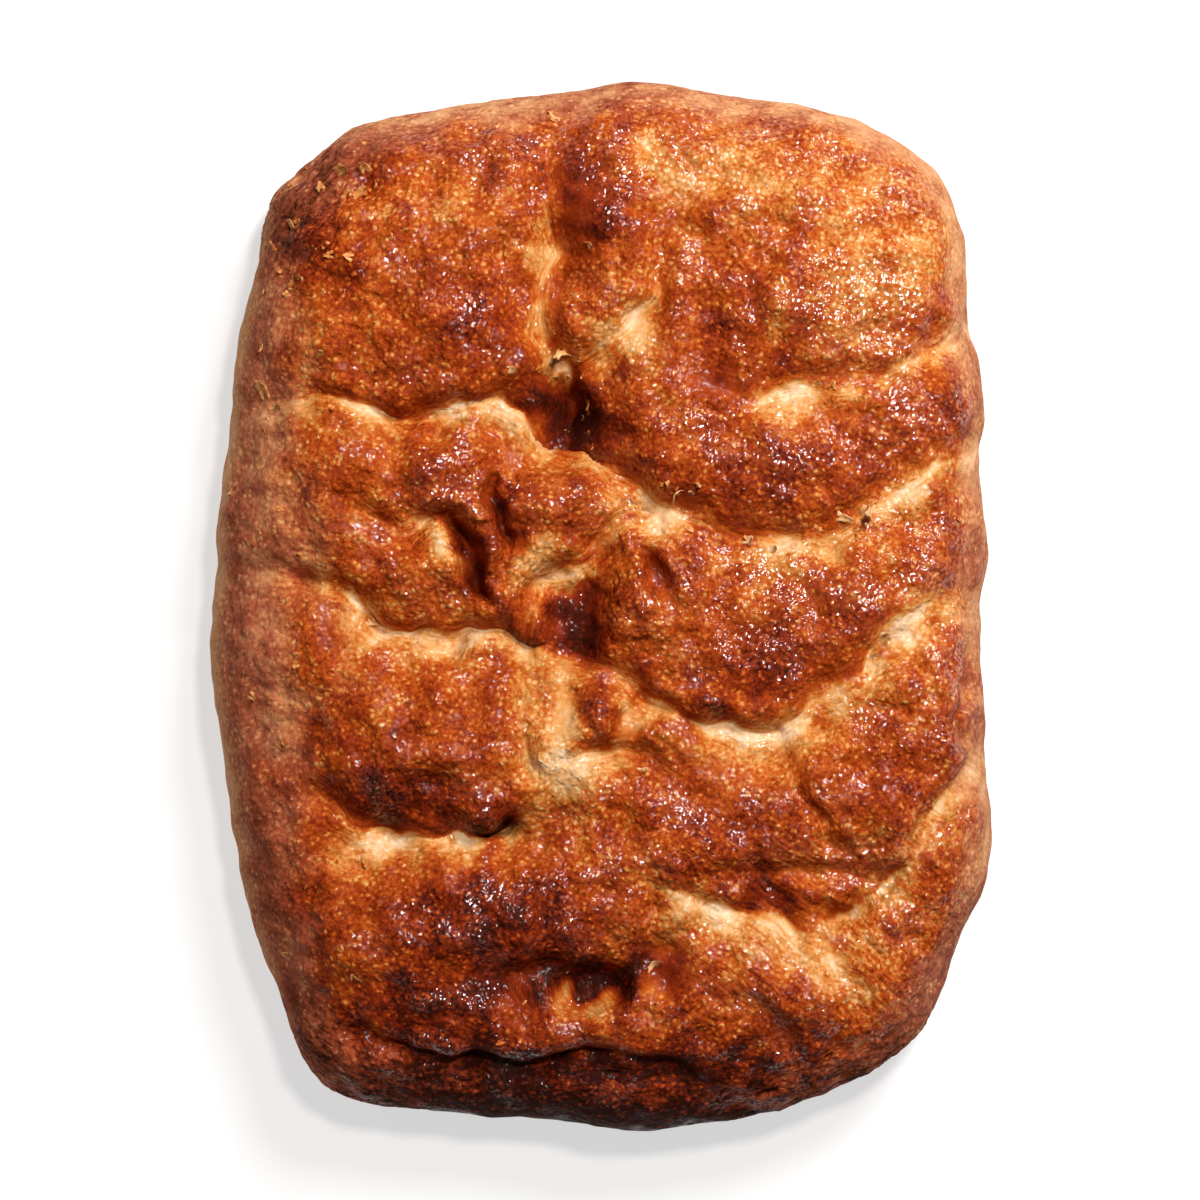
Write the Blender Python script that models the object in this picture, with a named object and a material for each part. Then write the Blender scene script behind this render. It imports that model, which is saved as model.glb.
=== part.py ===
"""Sourdough focaccia: one puffy, browned, finger-dimpled loaf with torn folds, resting on its flat base.

Metres, +Z up, +Y towards the narrow end, +X to the right. Plan positions below are millimetres from the middle.
"""
import math

import bmesh
import bpy
import numpy as np

MM = 0.001

# Driving sizes, mm
CROWN_HEIGHT = 42.0
WIDEST_HEIGHT = 16.0
DOME_RISE = 5.0
SHOULDER_MEAN = 32.0
SHOULDER_LEFT_EXTRA = 7.0
SHOULDER_POWER = 2.15
TUCK_IN = 11.0
TUCK_SWEEP = math.radians(74)
WALL_FADE_HEIGHT = 14.0
WALL_RELIEF = 0.55
SOFTEN_PASSES = 2
SOFTEN_SHARE = 0.35

# Vertex spacing
CELLS_ACROSS = 56
CELLS_ALONG = 76
CELLS_UP = 6
OUTLINE_STEPS = 8
SEAM_STEPS = 5

# Silhouette seen from above, clockwise from the top
OUTLINE = [
    (10, 136), (36, 132.5), (57, 129), (77, 120.5), (88, 110), (93, 97), (94.5, 80), (99, 54),
    (99.5, 28), (100, 7), (98.5, -14), (100, -35), (101, -61), (99, -74), (92, -88), (84, -108),
    (72, -120), (45, -131), (10, -136), (-11, -134), (-40, -131.5), (-67, -127.5), (-78, -117),
    (-84, -100), (-92, -78), (-98, -43), (-101.5, -17), (-100.5, 13), (-97, 46), (-94, 70),
    (-90, 86), (-86, 106), (-78, 114), (-63, 125), (-34, 131), (-11, 134),
]

# Folds: steep width, gentle width, then points (x, y, depth) with the steep wall left of the run
FOLDS = [
    (9, 18, [(-98, 51, 1.0), (-69, 52, 3.0), (-46, 48, 5.0), (-27, 52, 5.2), (-15, 43, 7.5), (9, 31, 5.4),
             (20, 24, 5.0)]),
    (9, 14, [(20, 24, 5.0), (48, 15, 4.2), (72, 26, 4.0), (100, 41, 2.2)]),
    (9, 17, [(-101, 10, 1.0), (-79, 7, 4.0), (-59, -3, 5.2), (-34, -7, 6.2), (-11, -13, 6.6), (10, -22, 4.6),
             (44, -32, 4.4)]),
    (9, 14, [(44, -32, 4.4), (64, -20, 4.2), (79, -2, 3.8), (100, 2, 2.0)]),
    (12, 17, [(-83, -24, 1.0), (-67, -54, 5.0), (-40, -59, 6.4), (-28, -59, 7.4), (-3, -51, 1.0)]),
    (10, 12, [(36, 53, 1.4), (62, 57, 3.2), (78, 61, 3.0), (100, 75, 1.4)]),
    (9, 16, [(10, -67, 1.0), (41, -77, 5.0), (64, -80, 4.4), (79, -63, 3.4), (100, -37, 1.4)]),
    (9, 10, [(-3, 130, 0.8), (-15, 108, 2.8), (-15, 82, 4.6), (-7, 48, 6.6)]),
    (9, 9, [(26, 107, 1.0), (13, 87, 2.8), (0, 66, 3.6), (-8, 59, 4.2)]),
    (8, 11, [(-20, -3, 3.4), (-5, 13, 4.6), (15, 25, 4.0)]),
    (7, 8, [(-16, -43, 0.6), (1, -38, 3.2), (16, -41, 2.0), (23, -50, 0.8)]),
    (8, 12, [(-71, -105, 0.6), (-42, -117, 4.4), (-4, -116, 5.0), (31, -125, 1.2)]),
]

# Finger hollows: x, y, half width, half length, turn in degrees, depth
HOLLOWS = [
    (-9, 48, 13, 7, -32, 5.5),
    (-6, -3, 8, 11, 0, 6.0),
    (-33, 14, 4, 12, 10, 5.5),
    (-27, 20, 3, 9, 8, 2.6),
    (-2, -98, 9, 7, 0, 6.0),
    (-16, -99, 16, 7, -4, 3.6),
    (16, -92, 8, 6, 20, 4.0),
    (14, -24, 5, 4, -20, 2.6),
    (29, 57, 8, 4, -15, 1.6),
    (-79, 9, 5, 4, 0, 2.2),
    (-8, 102, 8, 12, 0, 1.8),
    (42, -73, 8, 4, -12, 1.8),
    (96, -20, 4, 12, 4, 2.4),
]

HOLLOW_WALL = 1.6
HOLLOW_SPREAD = 0.9

# Risen lobes between the folds: x, y, half width, half length, turn in degrees, rise
LOBES = [
    (-47, 82, 31, 25, 0, 3.5),
    (3, 95, 12, 23, 10, 3.0),
    (55, 82, 31, 25, 0, 4.5),
    (46, 38, 34, 14, 8, 3.0),
    (-71, 30, 23, 21, 0, 2.0),
    (-40, 36, 8, 10, 0, 2.8),
    (-10, 28, 12, 10, 20, 2.6),
    (14, -1, 14, 16, 0, 2.6),
    (59, -1, 23, 18, 20, 3.0),
    (-46, -31, 26, 22, 0, 3.5),
    (84, -22, 12, 16, 0, 2.0),
    (67, -48, 23, 16, 10, 2.5),
    (25, -56, 18, 16, -30, 2.0),
    (-32, -76, 26, 14, 0, 2.5),
    (41, -96, 23, 13, -20, 2.5),
    (-11, -110, 23, 6, 0, 2.0),
]

# Unevenness of the crust: mean wavelength, height, seed
RIPPLES = [(42.0, 0.8, 5), (17.0, 0.5, 6), (9.0, 0.22, 7)]
RIPPLE_WAVES = 24
WANDER_LENGTH = 24.0
WANDER_REACH = 1.1

# Crust colour and finish
CRUST_COLOUR = (0.37, 0.145, 0.045, 1.0)
CRUST_ROUGHNESS = 0.46


def smooth_path(points, steps, closed=False):
    """A curve through the points, each span cut into equal steps."""
    given = np.asarray(points, dtype=float)
    count = len(given)
    spans = count if closed else count - 1
    path = []
    for span in range(spans):
        if closed:
            before, start, end, after = (given[(span + offset) % count] for offset in (-1, 0, 1, 2))
        else:
            start, end = given[span], given[span + 1]
            before = given[span - 1] if span else 2 * start - end
            after = given[span + 2] if span + 2 < count else 2 * end - start
        for step in range(steps):
            t = step / steps
            path.append(0.5 * (2 * start + (end - before) * t
                               + (2 * before - 5 * start + 4 * end - after) * t ** 2
                               + (3 * start - before - 3 * end + after) * t ** 3))
    if not closed:
        path.append(given[-1])
    return np.array(path)


def outline_reach(angle):
    """Distance from the middle to the silhouette in each direction."""
    path = smooth_path(OUTLINE, OUTLINE_STEPS, closed=True)
    bearing = np.arctan2(path[:, 1], path[:, 0])
    order = np.argsort(bearing)
    reach = np.hypot(path[:, 0], path[:, 1])
    return np.interp(angle, bearing[order], reach[order], period=2 * math.pi)


def ripple(x, y, z, length, seed):
    """Sum of waves in random directions, about one unit high."""
    draw = np.random.default_rng(seed)
    total = np.zeros(x.shape)
    for _ in range(RIPPLE_WAVES):
        way = draw.normal(size=3)
        way *= draw.uniform(0.7, 1.4) * 2 * math.pi / length / np.linalg.norm(way)
        total += np.cos(way[0] * x + way[1] * y + way[2] * z + draw.uniform(0, 2 * math.pi))
    return total / math.sqrt(RIPPLE_WAVES)


def fold_depth(x, y, steep, gentle, points):
    """Depth of one fold: a steep overhung wall on one side and a long rising slope on the other."""
    path = smooth_path(points, SEAM_STEPS)
    nearest = np.full(x.shape, math.inf)
    depth = np.zeros(x.shape)
    left = np.zeros(x.shape)
    for start, end in zip(path[:-1], path[1:]):
        run = end[:2] - start[:2]
        along = np.clip(((x - start[0]) * run[0] + (y - start[1]) * run[1]) / (run @ run), 0, 1)
        off_x = x - start[0] - along * run[0]
        off_y = y - start[1] - along * run[1]
        off = np.hypot(off_x, off_y)
        closer = off < nearest
        nearest = np.where(closer, off, nearest)
        depth = np.where(closer, start[2] + along * (end[2] - start[2]), depth)
        left = np.where(closer, run[0] * off_y - run[1] * off_x, left)
    steep_share = np.clip(nearest / steep, 0, 1)
    wall = 1 - steep_share ** 2 * (3 - 2 * steep_share)
    slope = (1 - np.clip(nearest / gentle, 0, 1)) ** 2
    return depth * np.where(left > 0, wall, slope)


def spot(x, y, centre_x, centre_y, half_width, half_length, turn):
    """Squared distance from a turned oval, one on its edge."""
    cosine, sine = math.cos(math.radians(turn)), math.sin(math.radians(turn))
    across = ((x - centre_x) * cosine + (y - centre_y) * sine) / half_width
    along = ((y - centre_y) * cosine - (x - centre_x) * sine) / half_length
    return across ** 2 + along ** 2


def relief(x, y, z):
    """Height of the crust over the plain pillow shape, in mm."""
    wander_x = x + WANDER_REACH * ripple(x, y, z, WANDER_LENGTH, 1)
    wander_y = y + WANDER_REACH * ripple(x, y, z, WANDER_LENGTH, 2)
    sunk = np.zeros(x.shape)
    for steep, gentle, points in FOLDS:
        sunk += fold_depth(wander_x, wander_y, steep, gentle, points) ** 3
    height = -np.cbrt(sunk)
    for *oval, depth in HOLLOWS:
        height -= depth * np.exp(-HOLLOW_SPREAD * spot(wander_x, wander_y, *oval) ** HOLLOW_WALL)
    for *oval, rise in LOBES:
        height += rise * np.exp(-spot(wander_x, wander_y, *oval))
    for length, amount, seed in RIPPLES:
        height += amount * ripple(x, y, z, length, seed)
    return height


def pillow_top(u, v):
    """Upper side of the plain loaf: a rounded shoulder all round and a slightly domed middle."""
    ring = np.maximum(np.abs(u), np.abs(v))
    angle = np.arctan2(v * max(y for _, y in OUTLINE), u * max(x for x, _ in OUTLINE))
    reach = outline_reach(angle)
    shoulder = SHOULDER_MEAN - SHOULDER_LEFT_EXTRA * np.cos(angle)
    rise = CROWN_HEIGHT - WIDEST_HEIGHT
    quarter = 0.5 * math.pi * np.sqrt((shoulder ** 2 + rise ** 2) / 2)
    arc = (1 - ring) * (reach - shoulder + quarter)
    turn = np.clip(arc / quarter, 0, 1) * 0.5 * math.pi
    inward = shoulder * (1 - np.cos(turn)) + np.maximum(arc - quarter, 0)
    lift = rise * (1 - (1 - np.sin(turn)) ** (SHOULDER_POWER / 2))
    x = (reach - inward) * np.cos(angle)
    y = (reach - inward) * np.sin(angle)
    dome = DOME_RISE * np.clip(inward / shoulder, 0, 1) ** 2 * np.cos(0.5 * math.pi * (1 - inward / reach)) ** 2
    return x, y, WIDEST_HEIGHT + lift + dome


def pillow_wall(u, v, level):
    """Lower wall, from the widest line down to the base, tucking in under the loaf."""
    angle = np.arctan2(v * max(y for _, y in OUTLINE), u * max(x for x, _ in OUTLINE))
    sweep = (1 - level) * TUCK_SWEEP
    inward = TUCK_IN * (1 - np.cos(sweep))
    reach = outline_reach(angle) - inward
    return reach * np.cos(angle), reach * np.sin(angle), WIDEST_HEIGHT * (1 - np.sin(sweep) / math.sin(TUCK_SWEEP))


def cut_block():
    """A two-unit cube cut into even cells along each direction, with one undivided face underneath."""
    bm = bmesh.new()
    bmesh.ops.create_cube(bm, size=2)
    for axis, cells in enumerate((CELLS_ACROSS, CELLS_ALONG, CELLS_UP)):
        edges = [e for e in bm.edges if abs(e.verts[0].co[axis] - e.verts[1].co[axis]) > 1]
        bmesh.ops.subdivide_edges(bm, edges=edges, cuts=cells - 1, use_grid_fill=True)
    under = [f for f in bm.faces if all(vert.co.z < -0.999 for vert in f.verts)]
    bmesh.ops.dissolve_faces(bm, faces=under, use_verts=False)
    return bm


def coordinates(mesh):
    """Vertex coordinates of a mesh as an array of rows."""
    flat = np.empty(len(mesh.vertices) * 3)
    mesh.vertices.foreach_get("co", flat)
    return flat.reshape(-1, 3)


def place(mesh, rows):
    """Move the vertices of a mesh to the given rows."""
    mesh.vertices.foreach_set("co", np.ascontiguousarray(rows).ravel())
    mesh.update()


def soften(mesh):
    """Ease the crust between its vertices, leaving the base where it is."""
    bm = bmesh.new()
    bm.from_mesh(mesh)
    above = [vert for vert in bm.verts if vert.co.z > MM]
    for _ in range(SOFTEN_PASSES):
        bmesh.ops.smooth_vert(bm, verts=above, factor=SOFTEN_SHARE, use_axis_x=True, use_axis_y=True,
                              use_axis_z=True)
    bm.to_mesh(mesh)
    bm.free()


def crust_material():
    """Browned, oil-brushed bread crust."""
    material = bpy.data.materials.new("crust")
    material.use_nodes = True
    shader = material.node_tree.nodes["Principled BSDF"]
    shader.inputs["Base Color"].default_value = CRUST_COLOUR
    shader.inputs["Roughness"].default_value = CRUST_ROUGHNESS
    shader.inputs["Metallic"].default_value = 0.0
    material.diffuse_color = CRUST_COLOUR
    return material


def make_focaccia(collection):
    """The loaf as one closed solid."""
    block = cut_block()
    mesh = bpy.data.meshes.new("focaccia")
    block.to_mesh(mesh)
    block.free()
    cube = coordinates(mesh)
    u, v, level = cube[:, 0], cube[:, 1], (cube[:, 2] + 1) / 2
    top = np.stack(pillow_top(u, v), axis=1)
    wall = np.stack(pillow_wall(u, v, level), axis=1)
    plain = np.where((level > 0.999)[:, None], top, wall)
    place(mesh, plain)

    outward = np.array([vertex.normal for vertex in mesh.vertices])
    x, y, z = plain.T
    up_wall = np.clip(z / WALL_FADE_HEIGHT, 0, 1) ** 2
    on_top = np.clip((z - WIDEST_HEIGHT) / (CROWN_HEIGHT - WIDEST_HEIGHT), 0, 1)
    share = up_wall * (WALL_RELIEF + (1 - WALL_RELIEF) * on_top)
    shaped = plain + outward * (relief(x, y, z) * share)[:, None]
    place(mesh, shaped * MM)
    soften(mesh)
    settled = coordinates(mesh)
    middle = (settled.max(axis=0) + settled.min(axis=0)) / 2
    settled[:, :2] -= middle[:2]
    place(mesh, settled)

    loaf = bpy.data.objects.new("focaccia", mesh)
    mesh.materials.append(crust_material())
    collection.objects.link(loaf)
    return loaf


def main():
    """Clear the file and build the loaf in its own collection."""
    for old in list(bpy.data.objects):
        bpy.data.objects.remove(old, do_unlink=True)
    collection = bpy.data.collections.new("sourdough_focaccia")
    bpy.context.scene.collection.children.link(collection)
    make_focaccia(collection)


main()
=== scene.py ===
"""Sourdough focaccia, dressed: the loaf's torn, oiled and unevenly browned crust around its plain solid."""
import math
from collections import namedtuple
from functools import partial

import bmesh
import bpy
import numpy as np
from bpy.props import FloatProperty, FloatVectorProperty, IntProperty, PointerProperty
from mathutils import Matrix, Vector
from mathutils.bvhtree import BVHTree


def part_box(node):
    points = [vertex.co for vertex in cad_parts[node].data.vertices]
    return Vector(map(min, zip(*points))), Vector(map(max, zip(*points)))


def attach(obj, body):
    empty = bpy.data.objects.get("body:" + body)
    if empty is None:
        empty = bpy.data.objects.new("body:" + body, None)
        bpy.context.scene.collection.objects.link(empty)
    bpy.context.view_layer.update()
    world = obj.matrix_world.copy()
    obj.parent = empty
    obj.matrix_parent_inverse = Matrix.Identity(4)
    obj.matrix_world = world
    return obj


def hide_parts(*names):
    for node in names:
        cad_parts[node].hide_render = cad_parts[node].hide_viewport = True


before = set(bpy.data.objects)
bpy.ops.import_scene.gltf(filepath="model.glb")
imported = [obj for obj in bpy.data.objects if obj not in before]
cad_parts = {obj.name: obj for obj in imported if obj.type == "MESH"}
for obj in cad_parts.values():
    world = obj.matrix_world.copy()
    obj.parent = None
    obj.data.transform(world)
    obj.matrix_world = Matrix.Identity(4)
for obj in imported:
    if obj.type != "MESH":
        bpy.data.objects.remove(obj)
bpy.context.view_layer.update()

bl_info = {
    "name": "Sourdough Focaccia",
    "version": (1, 0, 0),
    "blender": (4, 5, 0),
    "location": "3D View > Sidebar > Focaccia",
    "description": "Builds the crust of a finger-dimpled sourdough loaf and a studio to show it in",
    "category": "Object",
}

NODE = "focaccia"
MM = 0.001

# Studio, m
LIGHT_REACH = 1.3
LIGHT_AIM = (0, 0, 0.02)
CAMERA_OFFSET = (-0.0003, 0.0017)
SENSOR_WIDTH_MM = 36.0
FLOOR_HALF_WIDTH = 3.0

# The plain loaf, mm
CROWN_HEIGHT = 42.0
WIDEST_HEIGHT = 16.0
DOME_RISE = 5.0
SHOULDER_MEAN = 32.0
SHOULDER_LEFT_EXTRA = 7.0
SHOULDER_POWER = 2.15
TUCK_IN = 11.0
TUCK_SWEEP = math.radians(74)
WALL_FADE_HEIGHT = 12.0
WALL_FADE_POWER = 1.5
WALL_RELIEF = 0.6

# Steps that a span of the outline and one of a fold's run are cut into
OUTLINE_STEPS = 10
PATH_STEPS = 5

# Silhouette seen from above, clockwise from the top, mm from the middle
OUTLINE = [
    (10, 136), (36, 132.5), (57, 129), (77, 120.5), (88, 110), (93, 97), (94.5, 80), (99, 54),
    (99.5, 28), (100, 7), (98.5, -14), (100, -35), (101, -61), (99, -74), (92, -88), (84, -108),
    (72, -120), (45, -131), (10, -136), (-11, -134), (-40, -131.5), (-67, -127.5), (-78, -117),
    (-84, -100), (-92, -78), (-98, -43), (-101.5, -17), (-100.5, 13), (-97, 46), (-94, 70),
    (-90, 86), (-86, 106), (-78, 114), (-63, 125), (-34, 131), (-11, 134),
]

# A fold has a steep wall left of its run, which leans over it by lean, and a long slope on the right.
# pale_wall and pale_slope: how far unbrowned dough shows up each side. Points: (x, y, depth, paleness).
Fold = namedtuple("Fold", "steep gentle lean pale_wall pale_slope points")
FOLDS = [
    Fold(8, 20, 1.6, 0.8, 5.0, [
         (-98, 51, 0.8, 0.0), (-85, 52, 1.6, 0.5), (-69, 53, 2.4, 0.6), (-57, 50, 4.4, 1.0),
         (-46, 48, 4.8, 0.2), (-38, 52, 4.6, 1.0), (-27, 53, 5.6, 0.9), (-15, 43, 8.4, 0.8),
         (-3, 40, 7.0, 0.7), (9, 31, 5.2, 1.0), (20, 24, 4.4, 0.8)]),
    Fold(12, 15, 0.6, 2.0, 5.0, [
         (20, 24, 4.4, 0.8), (33, 18, 3.6, 0.4), (48, 15, 4.0, 0.9), (59, 19, 3.4, 0.5),
         (72, 26, 3.2, 0.9), (85, 34, 2.8, 0.9), (100, 41, 1.8, 0.6)]),
    Fold(9, 18, 1.4, 0.8, 5.0, [
         (-101, 10, 0.6, 0.0), (-88, 8, 1.6, 0.3), (-79, 7, 3.6, 0.1), (-68, 4, 3.6, 0.8),
         (-59, -3, 5.0, 1.0), (-50, -7, 5.6, 0.8), (-34, -7, 6.0, 0.9), (-20, -8, 6.2, 1.0)]),
    Fold(9, 18, 1.2, 1.0, 5.0, [
         (-20, -8, 6.2, 1.0), (-11, -13, 5.4, 0.6), (1, -15, 4.0, 0.3), (10, -22, 3.4, 0.8),
         (16, -27, 3.4, 0.5), (29, -30.5, 3.6, 0.9), (44, -32, 4.0, 1.0)]),
    Fold(13, 14, 0.6, 1.8, 6.0, [
         (44, -32, 4.0, 1.0), (55, -25.5, 3.6, 0.8), (64, -20, 3.4, 0.6), (70, -10, 3.2, 1.0),
         (79, -2, 3.0, 1.0), (89, 1, 2.4, 0.7), (100, 2, 1.6, 0.4)]),
    Fold(13, 16, 1.8, 0.8, 4.5, [
         (-83, -24, 0.6, 0.0), (-77, -40, 2.0, 0.0), (-67, -54, 3.6, 0.2), (-56, -59, 5.6, 1.0),
         (-47, -60, 5.0, 0.3), (-38, -59, 5.0, 1.0), (-28, -59, 7.4, 0.8), (-15, -53, 2.8, 0.1),
         (-3, -50, 0.8, 0.0)]),
    Fold(12, 12, 0.4, 2.0, 4.5, [
         (38, 53, 1.4, 0.4), (48, 54, 3.0, 1.0), (62, 57, 2.8, 0.7), (78, 61, 2.6, 0.6),
         (90, 69, 2.0, 0.7), (100, 75, 1.0, 0.6)]),
    Fold(9, 16, 0.8, 1.2, 8.0, [
         (12, -70, 0.6, 0.4), (23, -75, 2.2, 1.0), (35, -77.5, 3.6, 1.0), (46, -80.5, 4.4, 0.9),
         (56, -86, 3.4, 0.8), (62, -94, 2.0, 0.6), (65, -102, 0.6, 0.2)]),
    Fold(9, 11, 0.8, 0.8, 4.5, [
         (56, -82, 2.6, 0.2), (64, -78, 4.0, 0.8), (71, -72, 3.8, 1.0), (78, -65, 2.4, 0.4),
         (85, -55, 2.6, 0.8), (92, -46, 2.2, 0.7), (100, -37, 1.0, 0.3)]),
    Fold(11, 11, 0.5, 1.6, 2.5, [
         (-3, 130, 0.6, 0.0), (-11, 121, 2.0, 0.1), (-15, 108, 2.8, 0.0), (-14, 91, 4.4, 0.8),
         (-16, 82, 5.0, 0.1), (-15, 69, 5.6, 0.2), (-9, 58, 6.8, 0.9), (-7, 48, 7.6, 0.0)]),
    Fold(10, 10, 0.4, 2.6, 3.5, [
         (26, 107, 0.8, 0.1), (17, 99, 2.0, 0.1), (14, 87, 2.6, 0.2), (8, 74, 4.0, 0.8),
         (0, 66, 4.0, 0.7), (-8, 59, 4.6, 0.3)]),
    Fold(7, 12, 0.7, 1.0, 4.5, [
         (-20, -3, 3.6, 0.1), (-15, 6, 4.2, 0.6), (-4, 13, 4.8, 1.0), (5, 21, 4.2, 0.3),
         (15, 25, 4.2, 0.9)]),
    Fold(7, 11, 0.7, 1.0, 5.0, [
         (-16, -44, 0.5, 0.3), (-1, -38, 2.4, 0.8), (10, -37, 1.8, 0.1), (16, -41, 1.2, 0.0),
         (23, -50, 0.6, 0.0)]),
    Fold(7, 10, 0.8, 0.4, 2.2, [
         (-67, 27, 0.6, 0.0), (-59, 23, 3.2, 0.5), (-52, 19, 3.0, 0.5), (-45, 23, 3.6, 0.0),
         (-37, 23, 4.4, 0.3)]),
    Fold(5, 7, 0.3, 1.0, 1.6, [
         (-21, -13, 0.6, 0.1), (-20.5, -24, 2.4, 0.3), (-19, -37, 2.4, 0.3), (-18, -48, 0.6, 0.1)]),
    Fold(5, 8, 0.7, 0.6, 2.0, [
         (40, -37, 0.6, 0.1), (49, -38, 1.9, 0.5), (52, -47, 2.5, 0.2), (57, -58, 2.5, 0.1),
         (63, -66, 1.0, 0.0)]),
    Fold(7, 11, 1.6, 0.4, 1.5, [
         (-71, -105, 0.6, 0.0), (-56, -112, 3.4, 0.0), (-42, -117, 5.0, 0.1), (-21, -118, 5.4, 0.2),
         (-3, -115, 5.4, 0.2), (15, -118, 4.0, 0.1), (31, -124, 1.2, 0.0)]),
    Fold(4, 7, 0.3, 0.4, 1.2, [
         (25, -96, 0.6, 0.0), (41, -102, 1.6, 0.1), (49, -111, 2.0, 0.1), (51, -122, 1.2, 0.0)]),
    Fold(3, 4, 0.4, 0.6, 1.0, [
         (89, 1, 0.4, 0.0), (95, -9, 2.4, 0.1), (94.5, -22, 2.8, 0.0), (92.5, -31, 3.2, 0.0),
         (96, -38, 1.0, 0.0)]),
    Fold(6, 7, 0.6, 0.4, 1.0, [
         (25, -66, 0.5, 0.0), (41, -68, 2.8, 0.1), (57, -69, 2.6, 0.1), (66, -68, 0.6, 0.0)]),
    Fold(4, 6, 0.3, 0.4, 1.0, [
         (48, 8, 0.5, 0.0), (52, 4, 2.0, 0.1), (56, -3, 1.0, 0.0)]),
    Fold(6, 8, 0.3, 2.4, 2.4, [
         (64, -26, 0.6, 0.2), (65.5, -35, 1.6, 0.3), (66, -44, 0.6, 0.1)]),
    Fold(4, 6, 1.4, 0.3, 0.8, [
         (-30, -91.5, 0.6, 0.0), (-16, -92, 2.6, 0.0), (-6, -91.5, 4.0, 0.0), (4, -92.5, 4.0, 0.0),
         (8, -97, 1.2, 0.0)]),
    Fold(3.5, 6, 0.5, 0.4, 3.0, [
         (12, 3, 0.4, 0.1), (12.5, 13, 1.4, 0.2), (17, 8, 2.6, 0.1), (18, 0, 1.6, 0.0)]),
]
VALLEY_WIDTH = 15.0
VALLEY_SHARE = 0.38
STEEP_SHARE = 0.75
FULL_LEAN_DEPTH = 6.0
LEAN_POWER = 2.5

# How depth and paleness change along a fold
DEPTH_SWING = 0.2
DEPTH_SWING_LENGTH = 15.0
DEPTH_SEED = 51
PALE_SWING = 0.45
PALE_SWING_LENGTH = 13.0
PALE_SEED = 151
PALE_MEAN = 0.8
PALE_LEAST = 0.15

# The pale dough in a fold: a strong core and a weak halo, their reach, and the ragged edge of the core
PALE_CORE = 0.78
PALE_CORE_REACH = 0.85
PALE_HALO = 0.34
PALE_HALO_REACH = 1.9
PALE_FROM_DEPTH = 2.0
LIP_RAGS_MEAN = 0.8
LIP_RAGS_LEAST = 0.15
LIP_RAGS = [(9.0, 0.4, 11), (3.6, 0.32, 12)]

# The skin of a fold is smooth and drawn into threads; where two pulls are nearly equal the threads fade
SMOOTH_FROM_DEPTH = 5
PULL = 0.85
PULL_REACH = 6.0
PULL_FROM_DEPTH = 3
STREAK_STRETCH = 7.0
RIVAL_MARGIN = 0.2
WRINKLE_EDGE = 1.5
HOLLOW_EDGE = 0.9
FOLD_SKIN_GAP = 31.0
WRINKLE_SKIN_GAP = 17.0
WRINKLE_STRETCH = 6.0

# Folds whose skin was drawn across them, by their place in the table
COMBED_ACROSS = (7, 8)

# Finger hollows: x, y, half width, half length, turn in degrees, depth, sharpness of the wall
Hollow = namedtuple("Hollow", "x y across along turn depth wall")
HOLLOWS = [Hollow(*row) for row in (
    (-9, 48, 13.5, 7.0, -32, 6.4, 1.8), (-9, 52, 6.5, 5.0, -60, 3.0, 1.6),
    (-7, -3.5, 7.6, 10.0, 0, 8.8, 2.0), (-34.6, 12, 2.7, 12.0, 25, 11.0, 3.0),
    (-26.5, 23, 2.3, 11.5, 8, 8.0, 2.2), (-3, -98.5, 9.0, 5.6, 0, 8.4, 2.6),
    (-20, -97, 13, 6.0, -4, 3.8, 1.6), (16, -92, 7.5, 5.5, 20, 4.2, 1.6),
    (14, -24.5, 5.0, 3.2, -20, 3.0, 1.6), (13.5, 9.5, 2.6, 7.5, 22, 6.0, 1.8),
    (29, 57, 8.0, 3.6, -15, 1.8, 1.2), (-78.5, 8.5, 3.6, 3.2, 0, 2.2, 1.4),
    (-26.5, -56.5, 5.4, 3.0, 14, 7.6, 2.2), (43, -74, 8.0, 3.0, -12, 3.2, 1.4),
    (57.5, -79.5, 6.0, 2.6, -10, 2.6, 1.4), (-7.5, 102, 7.0, 13.0, 0, 2.0, 1.2),
    (21, 27.5, 4.6, 2.6, -10, 2.4, 1.6), (4, -37, 7.0, 3.2, 4, 1.8, 1.2),
    (-83.5, 11, 1.3, 1.3, 0, 1.8, 1.4), (64.8, 56, 0.8, 0.8, 0, 1.6, 1.2),
    (-9.5, -27, 3.0, 7.0, 0, 2.0, 1.4), (6.5, -30, 3.4, 6.0, -20, 2.0, 1.4),
    (-22, 18, 3.0, 5.0, 10, 1.6, 1.4),
)]

# Lobes risen between the folds: x, y, half width, half length, turn in degrees, rise
Lobe = namedtuple("Lobe", "x y across along turn rise")
LOBES = [Lobe(*row) for row in (
    (-47, 82, 31, 25, 0, 3.4), (3, 95, 10, 24, 6, 3.2), (55, 82, 31, 25, 0, 4.5),
    (46, 38, 34, 14, 8, 3.0), (-71, 30, 23, 21, 0, 2.0), (-39.5, 34, 8.0, 9, 0, 5.0),
    (-10, 27, 12, 10, 20, 3.0), (14, 1, 13, 15, 0, 2.8), (59, -1, 23, 18, 20, 3.2),
    (-46, -31, 26, 21, 0, 3.6), (84, -22, 11, 16, 0, 2.4), (67, -48, 23, 15, 10, 2.6),
    (25, -56, 18, 15, -30, 2.0), (-32, -76, 26, 13, 0, 2.6), (41, -96, 24, 12, -20, 2.8),
    (-11, -110, 22, 5, 0, 2.6), (-0.5, -25.5, 5.6, 6.0, 0, 5.0), (27, -24.5, 5.0, 2.8, -8, 3.4),
    (8, -97, 1.6, 9, -16, 2.6), (9, 10, 5, 11, 14, 1.6), (-31.5, 14, 2.6, 9, 18, 1.6),
    (16, -74, 16, 6, -30, 1.2),
)]

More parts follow.
